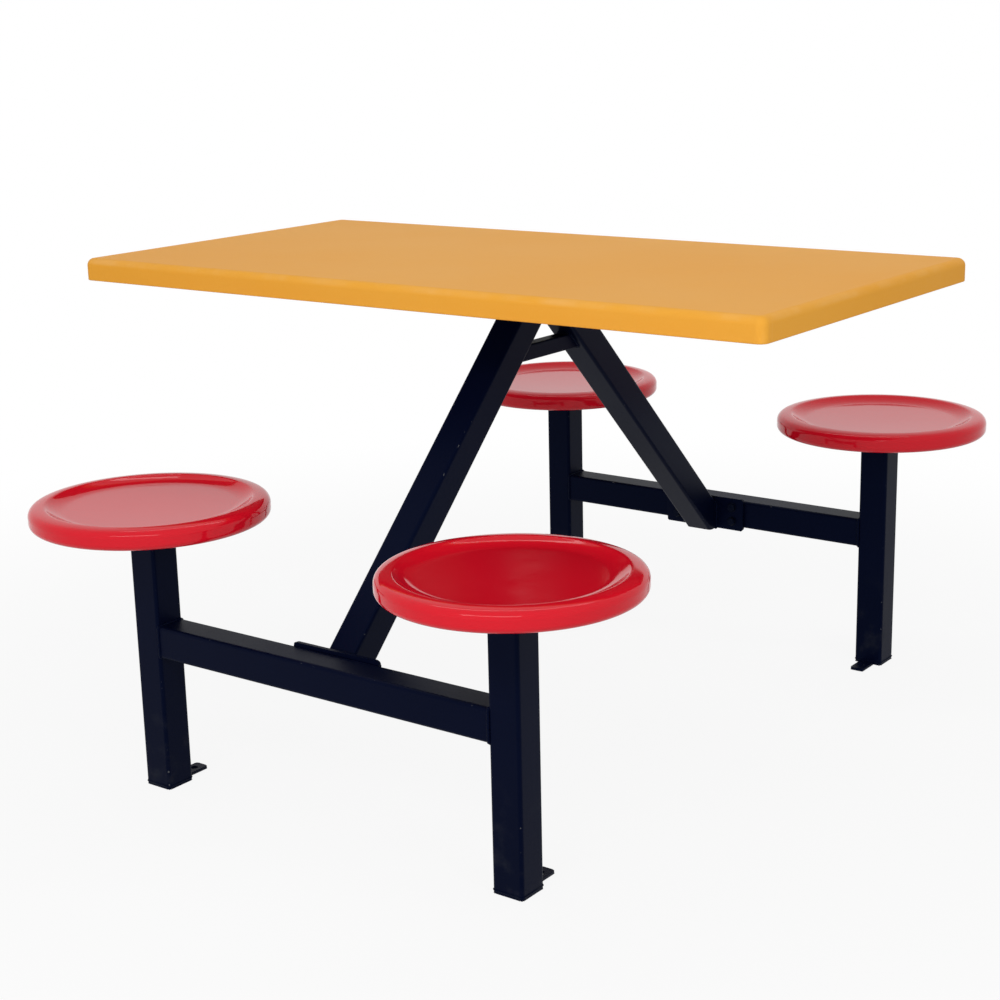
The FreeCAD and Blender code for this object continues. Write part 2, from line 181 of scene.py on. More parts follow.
white = (1, 1, 1, 1)
world_light = 0.54
scene.world = bpy.data.worlds.new("studio")
scene.world.use_nodes = True
scene.world.node_tree.nodes.clear()
sky = Wire(scene.world.node_tree)
soft_light = sky.node("ShaderNodeBackground", {}, {"Color": white, "Strength": world_light})
white_ground = sky.node("ShaderNodeBackground", {}, {"Color": white, "Strength": 1.0})
shown = sky.node("ShaderNodeMixShader", {}, {0: backdrop_rays(sky), 1: soft_light, 2: white_ground})
sky.node("ShaderNodeOutputWorld", {}, {"Surface": shown})

floor_half = 25.0
floor_corners = [(x * floor_half, y * floor_half, 0) for x, y in ((-1, -1), (1, -1), (1, 1), (-1, 1))]
floor_mesh = bpy.data.meshes.new("floor")
floor_mesh.from_pydata(floor_corners, [], [(0, 1, 2, 3)])
floor = bpy.data.objects.new("floor", floor_mesh)
scene.collection.objects.link(floor)

floor_grey = (0.62, 0.62, 0.62, 1)
white_share = 0.90
shadow_end, all_white = 0.9, 2.2
floor_paint = bpy.data.materials.new("floor_white")
floor_paint.use_nodes = True
floor_paint.node_tree.nodes.clear()
ground = Wire(floor_paint.node_tree)
spot = ground.node("ShaderNodeTexCoord", {}, {}, "Object")
distance = ground.node("ShaderNodeVectorMath", {"operation": "LENGTH"}, {0: spot}, "Value")
fading = white_share + (1 - white_share) * distance.ramp(shadow_end, all_white)
whiteness = backdrop_rays(ground) * fading
matt = ground.node("ShaderNodeBsdfDiffuse", {}, {"Color": floor_grey})
glow = ground.node("ShaderNodeEmission", {}, {"Color": white, "Strength": 1.0})
mixed = ground.node("ShaderNodeMixShader", {}, {0: whiteness, 1: matt, 2: glow})
ground.node("ShaderNodeOutputMaterial", {}, {"Surface": mixed})
floor_mesh.materials.append(floor_paint)
print("floor", 2 * floor_half, "m wide")

# %% [markdown]
# Four soft boxes light the table: a low one in front, a high one beside the camera, one from the right
# and a long one overhead. A spot would give hard shadows, and a sun would give the seats a pin-point
# highlight; an area lamp gives the broad soft patches that moulded gloss shows, and a long one draws a
# line on a rim. The low one and the right one only light the colours: in gloss they would stand in the
# dishes as white bars.

# %% Lamps
table_middle = Vector((0, 0, 0.5))


def soft_box(name, place, width, height, power, in_gloss=True):
    """A rectangular lamp that faces the table. The camera never sees it, but gloss may."""
    lamp = bpy.data.objects.new(name, bpy.data.lights.new(name, "AREA"))
    lamp.data.shape = "RECTANGLE"
    lamp.data.size = width
    lamp.data.size_y = height
    lamp.data.energy = power
    lamp.location = place
    lamp.rotation_euler = (table_middle - Vector(place)).to_track_quat("-Z", "Y").to_euler()
    lamp.visible_camera = False
    lamp.visible_glossy = in_gloss
    scene.collection.objects.link(lamp)


soft_box("low_front_box", (0.5, -3.2, 0.95), 2.4, 1.0, 26, in_gloss=False)
soft_box("high_front_box", (1.0, -2.6, 2.2), 2.2, 0.45, 18)
soft_box("right_box", (3.0, -1.0, 1.7), 1.2, 1.2, 19, in_gloss=False)
soft_box("overhead_box", (-0.3, 0.5, 3.0), 2.6, 0.3, 12)

# %% [markdown]
# ## Finishes
# Every finish starts from the same place: Object coordinates, in metres, so that a pattern has its real
# size on every piece. Each ends in one Principled shader with its relief from a Bump node. What is the
# same all over, such as a specular level, is written on the shader's own socket.

# %% Start and end of a finish
finishes = {}


def start_finish(name):
    """A new finish, as the Wire that carries its Object coordinates."""
    material = bpy.data.materials.new(name)
    material.use_nodes = True
    material.node_tree.nodes.clear()
    finishes[name] = material
    return Wire(material.node_tree).node("ShaderNodeTexCoord", {}, {}, "Object")


def end_finish(place, relief, depth, **sockets):
    """The outer skin of a finish, with a relief of the given depth in metres."""
    normal = place.node("ShaderNodeBump", {}, {"Height": relief, "Distance": depth, "Strength": 1.0})
    named = {name.replace("_", " "): value for name, value in sockets.items()}
    skin = place.node("ShaderNodeBsdfPrincipled", {}, {"Normal": normal, **named})
    place.node("ShaderNodeOutputMaterial", {}, {"Surface": skin})
    print(list(finishes)[-1], len(place.tree.nodes), "nodes")


def share(place, name):
    """A number that a piece keeps at its own points, such as how near they lie to a worn edge."""
    return place.node("ShaderNodeAttribute", {"attribute_name": name}, {}, "Fac")


def height_of(place):
    """The height above the floor, in metres."""
    return place.node("ShaderNodeSeparateXYZ", {}, {0: place}, "Z")


print("helpers:", [helper.__name__ for helper in (start_finish, end_finish, share, height_of)])

# %% [markdown]
# The frame has a black powder coat with a trace of blue. Baked powder dries to a fine orange peel, and
# the coat is satin, so its gloss wanders a little. Shoes and mops leave a grey bloom near the floor, and
# small nicks show grey primer along the rolled corners, where the tubes keep an `edge` share for it.

# %% Black powder coat
blue_gloss = (0.40, 0.55, 1.0, 1)
place = start_finish("powder_coat_black")
peel = place.grain(520, 1.5)
cloud = place.grain(8, 3)
kicked = height_of(place).ramp(0.20, 0.0) * place.grain(30, 6).ramp(0.50, 0.80)
streaks = place.stretched(210, 210, 11).grain(1, 3).ramp(0.58, 0.76)
nicks = share(place, "edge").ramp(0.5, 0.9) * place.grain(140, 5).ramp(0.68, 0.71)
coat = cloud.paint((0.0008, 0.0018, 0.0100, 1), (0.0016, 0.0030, 0.0140, 1))
dusty = (0.30 * kicked).paint(coat, (0.042, 0.045, 0.052, 1))
end_finish(
    place, peel - 0.8 * nicks, 0.00004,
    Base_Color=nicks.paint(dusty, (0.085, 0.088, 0.095, 1)),
    Roughness=0.36 + 0.10 * cloud + 0.06 * streaks + 0.20 * kicked,
    Specular_IOR_Level=0.05, Specular_Tint=blue_gloss)

# %% [markdown]
# The top is glass fibre with an orange gel coat, the coloured resin that is brushed into the mould first.
# Its pigment is a little cloudy and speckled. Years of trays leave fine scratches that run every way, so
# two stretched noises, turned against each other, dull the gloss and chalk the colour a little. The round
# of the edge and the corners, where the tray keeps an `edge` share, are painted paler as well: partly the
# chalk that sleeves and cloths leave, partly a painted highlight.

# %% Orange gel coat
place = start_finish("gel_coat_orange")
cloud = place.grain(3.5, 3)
speckle = place.grain(420, 2)
wave = place.grain(22, 2)
scratches = place.stretched(7, 460, 1, 0.5).grain(1, 2).ramp(0.66, 0.72)
crossed = place.stretched(9, 520, 1, -0.9).grain(1, 2).ramp(0.67, 0.72)
worn = place.grain(6, 4).ramp(0.42, 0.70)
# A paler band on the round of the edge and at the corners: partly wear, partly a painted highlight.
rubbed = share(place, "edge").ramp(0.25, 0.95) * place.grain(13, 6).ramp(0.38, 0.72)
pigment = (0.65 * cloud + 0.35 * speckle).paint((0.80, 0.395, 0.060, 1), (0.79, 0.335, 0.028, 1))
# Chalk from the scratches, plus the paler edge band, which is partly a painted highlight.
chalk_and_edge_highlight = 0.10 * worn * scratches + 0.08 * worn * crossed + 0.16 * rubbed
end_finish(
    place, 0.7 * wave + 0.05 * speckle - 0.03 * scratches, 0.00025,
    Base_Color=chalk_and_edge_highlight.paint(pigment, (0.84, 0.62, 0.36, 1)),
    Roughness=0.42 + 0.06 * cloud + worn * (0.10 * scratches + 0.08 * crossed) + 0.12 * rubbed,
    Specular_IOR_Level=0.04)

# %% [markdown]
# The seats have a red gel coat that was polished in the mould, so they mirror the room. Gel coat
# shrinks a little over the glass mat, which leaves slow waves in the gloss. Sitting rubs the
# middle of each dish duller: the seats keep a `rub` share that is 1 in the middle and 0 at the rim.

# %% Red gel coat
place = start_finish("gel_coat_red")
cloud = place.grain(5, 3)
speckle = place.grain(500, 2)
wave = place.grain(16, 2)
swirls = place.stretched(12, 420, 12, 0.7).grain(1, 3).ramp(0.60, 0.70)
rub = share(place, "rub") * place.grain(12, 4).ramp(0.35, 0.65)
end_finish(
    place, wave + 0.02 * speckle, 0.00018,
    Base_Color=(0.7 * cloud + 0.3 * speckle).paint((0.58, 0.0045, 0.0155, 1), (0.65, 0.0060, 0.0170, 1)),
    Roughness=0.06 + 0.04 * cloud + 0.05 * rub + 0.06 * rub * swirls,
    Specular_IOR_Level=0.20)

# %% [markdown]
# The back of a moulding is never as fine as its face: it shows the chopped glass strands that were
# rolled into the resin by hand. They lie every way, so noise is stretched along five directions and the
# brightest of them wins. The same function serves the red seats and the orange tray.

# %% Backs of the mouldings
strand_turns = (0.1, 0.8, 1.4, 2.0, 2.7)


def moulded_back(name, resin, strand):
    """The back of a moulding: strands of one colour in resin of another."""
    place = start_finish(name)
    layers = [place.stretched(30, 760, 30, turn).grain(1, 1).ramp(0.62, 0.68) for turn in strand_turns]
    strands = functools.reduce(lambda first, second: place.sum("MAXIMUM", first, second), layers)
    lumps = place.grain(60, 4)
    end_finish(
        place, 0.6 * strands + lumps, 0.0005,
        Base_Color=(0.6 * strands + 0.3 * lumps).paint(resin, strand),
        Roughness=0.62 - 0.15 * lumps)


moulded_back("seat_back_red", (0.24, 0.012, 0.014, 1), (0.42, 0.085, 0.075, 1))
moulded_back("tray_back_orange", (0.44, 0.185, 0.040, 1), (0.58, 0.300, 0.110, 1))

# %% [markdown]
# Small steel parts are plated or turned. Zinc has a mottled, faintly yellow bloom. A turned face has
# fine rings left by the tool, so its noise is squeezed along Z. The bolts in the flanges are black, as
# no bright head shows in the picture, and a spanner has rubbed them in places.

# %% Metal of the small parts
place = start_finish("zinc_plate")
bloom = place.grain(160, 4)
end_finish(
    place, place.grain(900, 2), 0.00002,
    Base_Color=bloom.paint((0.50, 0.50, 0.49, 1), (0.62, 0.60, 0.54, 1)),
    Roughness=0.30 + 0.25 * bloom, Metallic=1.0)

place = start_finish("turned_steel")
rings = place.stretched(20, 20, 2600).grain(1, 2)
end_finish(
    place, rings, 0.00001,
    Base_Color=rings.paint((0.40, 0.40, 0.41, 1), (0.56, 0.56, 0.55, 1)),
    Roughness=0.22 + 0.16 * rings, Metallic=1.0)

place = start_finish("bolt_black")
rubbed = place.grain(300, 4).ramp(0.58, 0.70)
end_finish(
    place, place.grain(700, 2), 0.00002,
    Base_Color=(0.5 * rubbed).paint((0.0015, 0.0025, 0.0090, 1), (0.014, 0.015, 0.020, 1)),
    Roughness=0.42 - 0.12 * rubbed, Specular_IOR_Level=0.07, Specular_Tint=blue_gloss)

# %% [markdown]
# The bushes are natural nylon, a waxy off-white. The plugs in the bearers are black plastic from a mould
# with a fine spark texture. The board is plywood under a dark stain: long soft figure from the peeled
# veneer, with short pores along it.

# %% Nylon, plastic and plywood
place = start_finish("natural_nylon")
haze = place.grain(90, 3)
end_finish(
    place, haze, 0.00005,
    Base_Color=haze.paint((0.66, 0.63, 0.55, 1), (0.75, 0.73, 0.67, 1)), Roughness=0.42 + 0.12 * haze)

place = start_finish("plug_black")
spark = place.grain(1400, 2)
end_finish(
    place, spark, 0.00006,
    Base_Color=spark.paint((0.008, 0.008, 0.009, 1), (0.016, 0.016, 0.017, 1)), Roughness=0.50 + 0.15 * spark)

place = start_finish("plywood_stained")
figure = place.stretched(2.2, 26, 26).grain(1, 5)
pores = place.stretched(38, 1100, 1100).grain(1, 2).ramp(0.60, 0.72)
knots = place.stretched(5, 9, 9).grain(1, 1).ramp(0.70, 0.78)
veneer = figure.ramp(0.30, 0.72).paint((0.062, 0.040, 0.026, 1), (0.040, 0.024, 0.015, 1))
end_finish(
    place, figure - 0.8 * pores, 0.00015,
    Base_Color=(0.45 * pores + 0.5 * knots).paint(veneer, (0.018, 0.010, 0.006, 1)),
    Roughness=0.60 + 0.15 * pores)
print(len(finishes), "finishes")

# %% [markdown]
# ## From mesh to piece
# Every new piece ends in the same way: its faces are turned outwards, shaded smooth up to a set angle and
# given a finish, unless Geometry Nodes have done so. Then it is made to ride on its body, and the solids
# that it replaces are hidden. Most pieces are steel of the frame, so they get a function of their own.

# %% Finished pieces
made_pieces = []
crease = math.radians(32)


def add_piece(name, shape, finish_names, body, stands_for):
    """Turns a bmesh, or a mesh, into a finished object."""
    if isinstance(shape, bmesh.types.BMesh):
        bmesh.ops.recalc_face_normals(shape, faces=shape.faces[:])
        mesh = bpy.data.meshes.new(name)
        shape.to_mesh(mesh)
        shape.free()
        mesh.shade_smooth()
        mesh.set_sharp_from_angle(angle=crease)
        for finish_name in finish_names:
            mesh.materials.append(finishes[finish_name])
    else:
        mesh = shape
    piece = bpy.data.objects.new(name, mesh)
    scene.collection.objects.link(piece)
    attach(piece, body)
    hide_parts(*stands_for)
    made_pieces.append(piece)
    return piece


def add_steel(name, shape, node):
    """A black piece of the frame, in place of one solid."""
    return add_piece(name, shape, ["powder_coat_black"], "frame", [node])


corners = ("front_left", "front_right", "back_left", "back_right")
sides = {"front": -1, "back": 1}


def node_middle(node):
    """The middle of a solid's box."""
    low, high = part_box(node)
    return (low + high) / 2


print("corners", corners)

# %% [markdown]
# ## Rolled tubes
# The posts, rails and legs are square tube. A plain box would have knife edges, and a bevelled one
# shades its flat sides like pillows, because its corner normals lean. So the outline is drawn with true
# corner bends and one extra point just beside each bend, which keeps the flats flat. Each point also
# keeps its `edge` share: 1 in the middle of a bend and 0 on the flats.

# %% Tube outlines and bars
bend_steps = 6
beside_bend = 0.0008


def tube_outline(width, depth, bend_radius, steps=bend_steps):
    """Points round a rolled section as x, y and edge share, with a point on the flats beside each bend."""
    outline = []
    for quarter, (side_x, side_y) in enumerate(((1, 1), (-1, 1), (-1, -1), (1, -1))):
        middle = Vector((side_x * (width / 2 - bend_radius), side_y * (depth / 2 - bend_radius)))
        for step in range(-1, steps + 2):
            along = min(max(step, 0), steps) / steps
            angle = math.pi / 2 * (quarter + along)
            slip = beside_bend * (step - along * steps)
            outward = Vector((math.cos(angle), math.sin(angle)))
            point = middle + bend_radius * outward + slip * Vector((-outward.y, outward.x))
            outline.append((point.x, point.y, 1 - abs(2 * along - 1)))
    return outline


def add_bar(shape, outline, start, end, place):
    """A closed bar with this outline along its own Z axis, from start to end."""
    edge = shape.verts.layers.float.new("edge")
    ends = []
    for height in (start, end):
        ring = []
        for x, y, share_of_edge in outline:
            vert = shape.verts.new(place @ Vector((x, y, height)))
            vert[edge] = share_of_edge
            ring.append(vert)
        ends.append(ring)
    for k in range(len(outline)):
        following = (k + 1) % len(outline)
        shape.faces.new((ends[0][k], ends[0][following], ends[1][following], ends[1][k]))
    shape.faces.new(ends[0][::-1])
    shape.faces.new(ends[1])


post_low, post_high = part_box("front_right_post")
tube_size = post_high.x - post_low.x
tube_bend = 0.005
tube = tube_outline(tube_size, tube_size, tube_bend)
print("tube", round(tube_size * 1000), "mm,", len(tube), "points round it")

# %% [markdown]
# ## Weld lines
# Where tubes meet, the real frame is welded, and the bead runs round each joint. The lines that the
# beads will follow are collected while the tubes are drawn, as pairs of points, so that each bead lies
# exactly in its corner.

# %% Lines to weld
frame_welds = []
plate_welds = []


def weld_round(lines, outline, height, place):
    """Keeps the closed line round an outline, at one height of its bar."""
    ring = [place @ Vector((x, y, height)) for x, y, share_of_edge in outline]
    lines.extend(zip(ring, ring[1:] + ring[:1]))


print("a weld round a tube has", len(tube), "short lines")

# %% [markdown]
# ## Posts and rails
# Each post is one upright tube between its foot plate and its head plate. A rail joins two posts,
# square on their inner faces. All six could be scaled copies of one tube, but a scale would stretch the
# grain of their finish, so each is drawn at its own length from the box of its solid.

# %% Posts
for corner in corners:
    low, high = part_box(corner + "_post")
    place = Matrix.Translation(((low.x + high.x) / 2, (low.y + high.y) / 2, 0))
    post = bmesh.new()
    add_bar(post, tube, low.z, high.z, place)
    weld_round(plate_welds, tube, low.z, place)
    weld_round(plate_welds, tube, high.z, place)
    add_steel(corner + "_post_tube", post, corner + "_post")
print("posts", len(made_pieces), "from", round(post_low.z, 3), "to", round(post_high.z, 3), "m")

# %% Rails
along_x = Matrix.Rotation(math.radians(90), 4, "Y")
for side in sides:
    low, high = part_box(side + "_rail")
    middle = node_middle(side + "_rail")
    place = Matrix.Translation(middle) @ along_x
    half = (high.x - low.x) / 2
    rail = bmesh.new()
    add_bar(rail, tube, -half, half, place)
    weld_round(frame_welds, tube, -half, place)
    weld_round(frame_welds, tube, half, place)
    add_steel(side + "_rail_tube", rail, side + "_rail")
print("rails", round(2 * half, 3), "m long")

# %% [markdown]
# ## Leaning legs and their brace
# Each leg leans at about 45 degrees from its flange up to the middle of the top. A tube could be
# drawn with its slanted ends worked out point by point, but it is simpler to draw it too long and cut it
# with planes, as a saw does. The outline of each cut is also the line of its weld.

# %% Cutting with a plane
hair = 1e-6


def saw(shape, point, direction):
    """Cuts off what lies beyond the plane, closes the end and returns its outline as pairs of points."""
    everything = shape.verts[:] + shape.edges[:] + shape.faces[:]
    cut = bmesh.ops.bisect_plane(
        shape, geom=everything, plane_co=point, plane_no=direction, clear_outer=True, dist=hair)
    rim = [part for part in cut["geom_cut"] if isinstance(part, bmesh.types.BMEdge)]
    bmesh.ops.holes_fill(shape, edges=rim, sides=0)
    return [(edge.verts[0].co.copy(), edge.verts[1].co.copy()) for edge in rim]


leg_low, leg_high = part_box("back_leg")
frame_x = node_middle("back_leg").x
flange_face = leg_high.y
foot_drop = 0.016
foot_height = node_middle("back_rail").z - foot_drop
rise = leg_high.z - foot_height
reach = flange_face - leg_low.y
lean = math.acos(tube_size / 2 / math.hypot(reach, rise)) - math.atan2(rise, reach)
print("lean", round(math.degrees(lean), 2), "degrees")

# %% Legs and brace
leg_length = 2 * math.hypot(reach, rise)
brace_low, brace_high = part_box("leg_brace")
brace_size = brace_high.x - brace_low.x
small_bend = 0.003
brace_outline = tube_outline(brace_size, brace_size, small_bend)
along_y = Matrix.Rotation(math.radians(-90), 4, "X")
brace = bmesh.new()
add_bar(brace, brace_outline, 2 * brace_low.y, 2 * brace_high.y,
        Matrix.Translation((frame_x, 0, node_middle("leg_brace").z)) @ along_y)

for side, sign in sides.items():
    leg_top = Vector((frame_x, sign * (leg_low.y + tube_size / 2 / math.cos(lean)), leg_high.z))
    place = Matrix.Translation(leg_top) @ Matrix.Rotation(sign * lean, 4, "X")
    leg = bmesh.new()
    add_bar(leg, tube, -leg_length, leg_length, place)
    saw(leg, Vector((0, 0, leg_low.z)), Vector((0, 0, -1)))
    frame_welds += saw(leg, Vector((0, 0, leg_high.z)), Vector((0, 0, 1)))
    frame_welds += saw(leg, Vector((0, sign * flange_face, 0)), Vector((0, sign, 0)))
    add_steel(side + "_leg_tube", leg, side + "_leg")
    inward = place.to_3x3() @ Vector((0, -sign, 0))
    frame_welds += saw(brace, leg_top + inward * tube_size / 2, -inward)
add_steel("leg_brace_tube", brace, "leg_brace")
print("legs and brace,", len(frame_welds), "weld pieces")

# %% [markdown]
# ## Bearers
# Under the board lies a short cross tube on the two leg tops, and a flat tube runs across each of its
# ends to carry the board. Seen from above they are hidden, and plain boxes would do, but the underside of a
# table is seen by whoever cleans it. So they are tubes too, and the saw mitres the ends of the cross tube.

# %% Bearers
cross_low, cross_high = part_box("cross_bearer")
cross_size = cross_high - cross_low
cross_half = cross_size.y / 2
cross_outline = tube_outline(cross_size.x, cross_size.z, tube_bend)
cross = bmesh.new()
add_bar(cross, cross_outline, -cross_half, cross_half,
        Matrix.Translation(node_middle("cross_bearer")) @ along_y)
for sign in sides.values():
    saw(cross, Vector((0, sign * cross_half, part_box("back_bearer")[0].z)), Vector((0, sign, -1)))
add_steel("cross_bearer_tube", cross, "cross_bearer")

for side, sign in sides.items():
    bearer_low, bearer_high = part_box(side + "_bearer")
    bearer_size = bearer_high - bearer_low
    bearer_half = bearer_size.x / 2
    outline = tube_outline(bearer_size.z, bearer_size.y, small_bend)
    bearer = bmesh.new()
    add_bar(bearer, outline, -bearer_half, bearer_half,
            Matrix.Translation(node_middle(side + "_bearer")) @ along_x)
    add_steel(side + "_bearer_tube", bearer, side + "_bearer")
    for x in (cross_low.x, cross_high.x):
        frame_welds.append(tuple(Vector((x, sign * cross_half, z)) for z in (bearer_low.z, bearer_high.z)))
print("bearers", round(2 * bearer_half, 3), "m long")

# %% [markdown]
# ## Flat plates
# Foot plates, flanges, head plates and seat plates are cut from flat steel. A plate is drawn as its
# outline and its holes, filled at both faces and joined by walls, and its edges get the small chamfer
# that a grinder leaves. A cube with Boolean cuts would do as well, but leaves worse faces round the holes.

# %% Plates with holes
chamfer = 0.0006


def circle(middle_x, middle_y, radius, steps=24):
    """Points round a hole."""
    angles = [2 * math.pi * step / steps for step in range(steps)]
    return [(middle_x + radius * math.cos(angle), middle_y + radius * math.sin(angle)) for angle in angles]


def rounded(width, depth, radius):
    """Points round a plate with round corners."""
    return [(x, y) for x, y, share_of_edge in tube_outline(width, depth, radius)]


def add_plate(shape, outline, holes, thickness, place):
    """A chamfered plate from its own z = 0 up to its thickness."""
    rims = [
        [[shape.verts.new(place @ Vector((x, y, height))) for x, y in loop] for loop in [outline] + holes]
        for height in (0, thickness)]
    sharp = []
    for level in rims:
        edges = [shape.edges.new((a, b)) for loop in level for a, b in zip(loop, loop[1:] + loop[:1])]
        bmesh.ops.triangle_fill(shape, use_beauty=True, edges=edges)
        sharp += edges
    for lower, upper in zip(*rims):
        for k in range(len(lower)):
            following = (k + 1) % len(lower)
            shape.faces.new((lower[k], lower[following], upper[following], upper[k]))
    bmesh.ops.bevel(shape, geom=sharp, offset=chamfer, segments=1, affect="EDGES", profile=0.5)


print("chamfer", chamfer * 1000, "mm")

# %% [markdown]
# A foot plate closes the post and reaches out as a drilled tongue towards the middle of the table, where
# it is bolted to the floor. The tongue could be a strip of its own, but it is cut from one sheet with its
# plate, so one outline goes round both. A head plate closes the post above, with a hole for the swivel.

# %% Foot plates and head plates
tongue_width, tongue_corner, corner_step = 0.025, 0.005, 0.0015
anchor_hole, anchor_inset = 0.011, 0.018
swivel_hole = 0.030
square = rounded(tube_size, tube_size, tube_bend)
low_side = -tube_size / 2
tongue_start = next(k for k, (x, y) in enumerate(square) if x > 0 and y < low_side + hair)
for corner in corners:
    middle = node_middle(corner + "_post")
    low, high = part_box(corner + "_foot_plate")
    tip = (high.y - low.y) - tube_size / 2
    half = tongue_width / 2
    end = [
        (half, low_side), (half, tongue_corner - tip),
        (half - corner_step, corner_step - tip), (half - tongue_corner, -tip)]
    tongue = [(-x, y) for x, y in end] + end[::-1]
    outline = square[:tongue_start] + tongue + square[tongue_start:]
    turn = Matrix.Rotation(0 if middle.y > 0 else math.pi, 4, "Z")
    foot = bmesh.new()
    add_plate(foot, outline, [circle(0, anchor_inset - tip, anchor_hole / 2)], high.z - low.z,
              Matrix.Translation((middle.x, middle.y, low.z)) @ turn)
    add_steel(corner + "_foot", foot, corner + "_foot_plate")

    low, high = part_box(corner + "_head_plate")
    head = bmesh.new()
    add_plate(head, square, [circle(0, 0, swivel_hole / 2, 48)], high.z - low.z,
              Matrix.Translation((middle.x, middle.y, low.z)))
    add_steel(corner + "_head", head, corner + "_head_plate")
print("foot plates reach", round(tip * 1000), "mm from the middle of their post")

# %% Flanges and seat plates
def four_places(x, y):
    """The corners of a rectangle, given by its half width and half depth."""
    return [(place_x, place_y) for place_x in (-x, x) for place_y in (-y, y)]


flange_bolts, flange_hole, flange_corner = four_places(0.058, 0.013), 0.009, 0.006
for side, sign in sides.items():
    middle = node_middle(side + "_flange")
    low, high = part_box(side + "_flange")
    size = high - low
    upright = Matrix.Rotation(-sign * math.pi / 2, 4, "X")
    flange = bmesh.new()
    add_plate(flange, rounded(size.x, size.z, flange_corner),
              [circle(x, y, flange_hole / 2) for x, y in flange_bolts], size.y,
              Matrix.Translation((middle.x, sign * flange_face, middle.z)) @ upright)
    add_steel(side + "_flange_plate", flange, side + "_flange")

seat_bolts, seat_hole, seat_plate_corner = four_places(0.040, 0.040), 0.007, 0.015
for corner in corners:
    middle = node_middle(corner + "_seat_plate")
    low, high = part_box(corner + "_seat_plate")
    size = high - low
    plate = bmesh.new()
    add_plate(plate, rounded(size.x, size.y, seat_plate_corner),
              [circle(x, y, seat_hole / 2) for x, y in seat_bolts], size.z,
              Matrix.Translation((middle.x, middle.y, low.z)))
    add_piece(corner + "_plate_under_seat", plate, ["powder_coat_black"], corner + "_seat",
              [corner + "_seat_plate"])
print("flanges", len(sides), "seat plates", len(corners))

# %% [markdown]
# ## Geometry Nodes from Python
# Beads and bolts repeat all over the frame, which is work for Geometry Nodes. A tree could be drawn by hand
# in the editor. Here it is built with the same Wire as the finishes, with named inputs for its sizes, and
# is run once on a carrier mesh. What it makes is kept as plain mesh, and the modifier goes.

# %% Helpers for trees
def start_tree(name, inputs):
    """A Geometry Nodes tree with named inputs, as its Wire, its inputs' Wires and their identifiers."""
    tree = bpy.data.node_groups.new(name, "GeometryNodeTree")
    kinds = {"Geometry": "NodeSocketGeometry", "Seed": "NodeSocketInt", "Finish": "NodeSocketMaterial"}
    sockets = [
        tree.interface.new_socket(word, in_out="INPUT", socket_type=kinds.get(word, "NodeSocketFloat"))
        for word in ["Geometry", *inputs]]
    tree.interface.new_socket("Geometry", in_out="OUTPUT", socket_type="NodeSocketGeometry")
    entry = tree.nodes.new("NodeGroupInput")
    wires = {word: Wire(tree, entry.outputs[word]) for word in ["Geometry", *inputs]}
    return Wire(tree), wires, {socket.name: socket.identifier for socket in sockets}


def end_tree(wire, geometry, finish):
    """Instances become plain mesh, and the mesh gets its finish."""
    plain = wire.node("GeometryNodeRealizeInstances", {}, {"Geometry": geometry})
    finished = wire.node("GeometryNodeSetMaterial", {}, {"Geometry": plain, "Material": finish})
    wire.node("NodeGroupOutput", {}, {"Geometry": finished})


def run_tree(name, wire, names, mesh, values):
    """Runs a tree on a mesh and returns the result as a plain mesh."""
    carrier = bpy.data.objects.new(name, mesh)
    scene.collection.objects.link(carrier)
    modifier = carrier.modifiers.new(name, "NODES")
    modifier.node_group = wire.tree
    for word, value in values.items():
        modifier[names[word]] = value
    result = bpy.data.meshes.new_from_object(carrier.evaluated_get(bpy.context.evaluated_depsgraph_get()))
    carrier.modifiers.remove(modifier)
    bpy.data.objects.remove(carrier)
    result.name = name
    return result


print("helpers:", [helper.__name__ for helper in (start_tree, end_tree, run_tree)])

# %% [markdown]
# ## Weld beads
# A bead is a row of small frozen ripples along a line. The lines become curves, the curves get even
# points, and a circle is swept along them whose size swells and shrinks with the distance travelled.
# Noise on the place keeps the ripples from looking machined.

# %% A tree for weld beads
bead, given, bead_inputs = start_tree("weld_bead", ["Bead Radius", "Ripple Pitch", "Ripple Depth", "Finish"])
points_in_ripple = 4
line = bead.node("GeometryNodeMeshToCurve", {}, {"Mesh": given["Geometry"]})
even = bead.node(
    "GeometryNodeResampleCurve", {"mode": "LENGTH"},
    {"Curve": line, "Length": given["Ripple Pitch"] / points_in_ripple})
travelled = bead.node("GeometryNodeSplineParameter", {}, {}, "Length")
ripple = bead.sum("SINE", travelled * (2 * math.pi) / given["Ripple Pitch"])
unsteady = bead.node("GeometryNodeInputPosition", {}, {}).grain(160.0, 2.0)
swell = given["Bead Radius"] * (0.8 + 0.4 * unsteady + given["Ripple Depth"] * ripple)
section = bead.node("GeometryNodeCurvePrimitiveCircle", {"mode": "RADIUS"}, {"Resolution": 8, "Radius": 1.0})
swept = bead.node(
    "GeometryNodeCurveToMesh", {},
    {"Curve": even, "Profile Curve": section, "Scale": swell, "Fill Caps": True})
smooth = bead.node("GeometryNodeSetShadeSmooth", {}, {"Geometry": swept})
end_tree(bead, smooth, given["Finish"])
print("weld tree", len(bead.tree.nodes), "nodes")

# %% Beads on the frame
ripple_depth = 0.16
decimals = 6


def welded(name, lines, radius, pitch):
    """The beads along lines that are given as pairs of points; points that agree become one."""
    points = {}
    pairs = []
    for ends in lines:
        keys = [tuple(round(value, decimals) for value in end) for end in ends]
        for key in keys:
            points.setdefault(key, len(points))
        if keys[0] != keys[1]:
            pairs.append((points[keys[0]], points[keys[1]]))
    mesh = bpy.data.meshes.new(name)
    mesh.from_pydata(list(points), pairs, [])
    beads = run_tree(name, bead, bead_inputs, mesh, {
        "Bead Radius": radius, "Ripple Pitch": pitch, "Ripple Depth": ripple_depth,
        "Finish": finishes["powder_coat_black"]})
    return add_piece(name, beads, [], "frame", [])


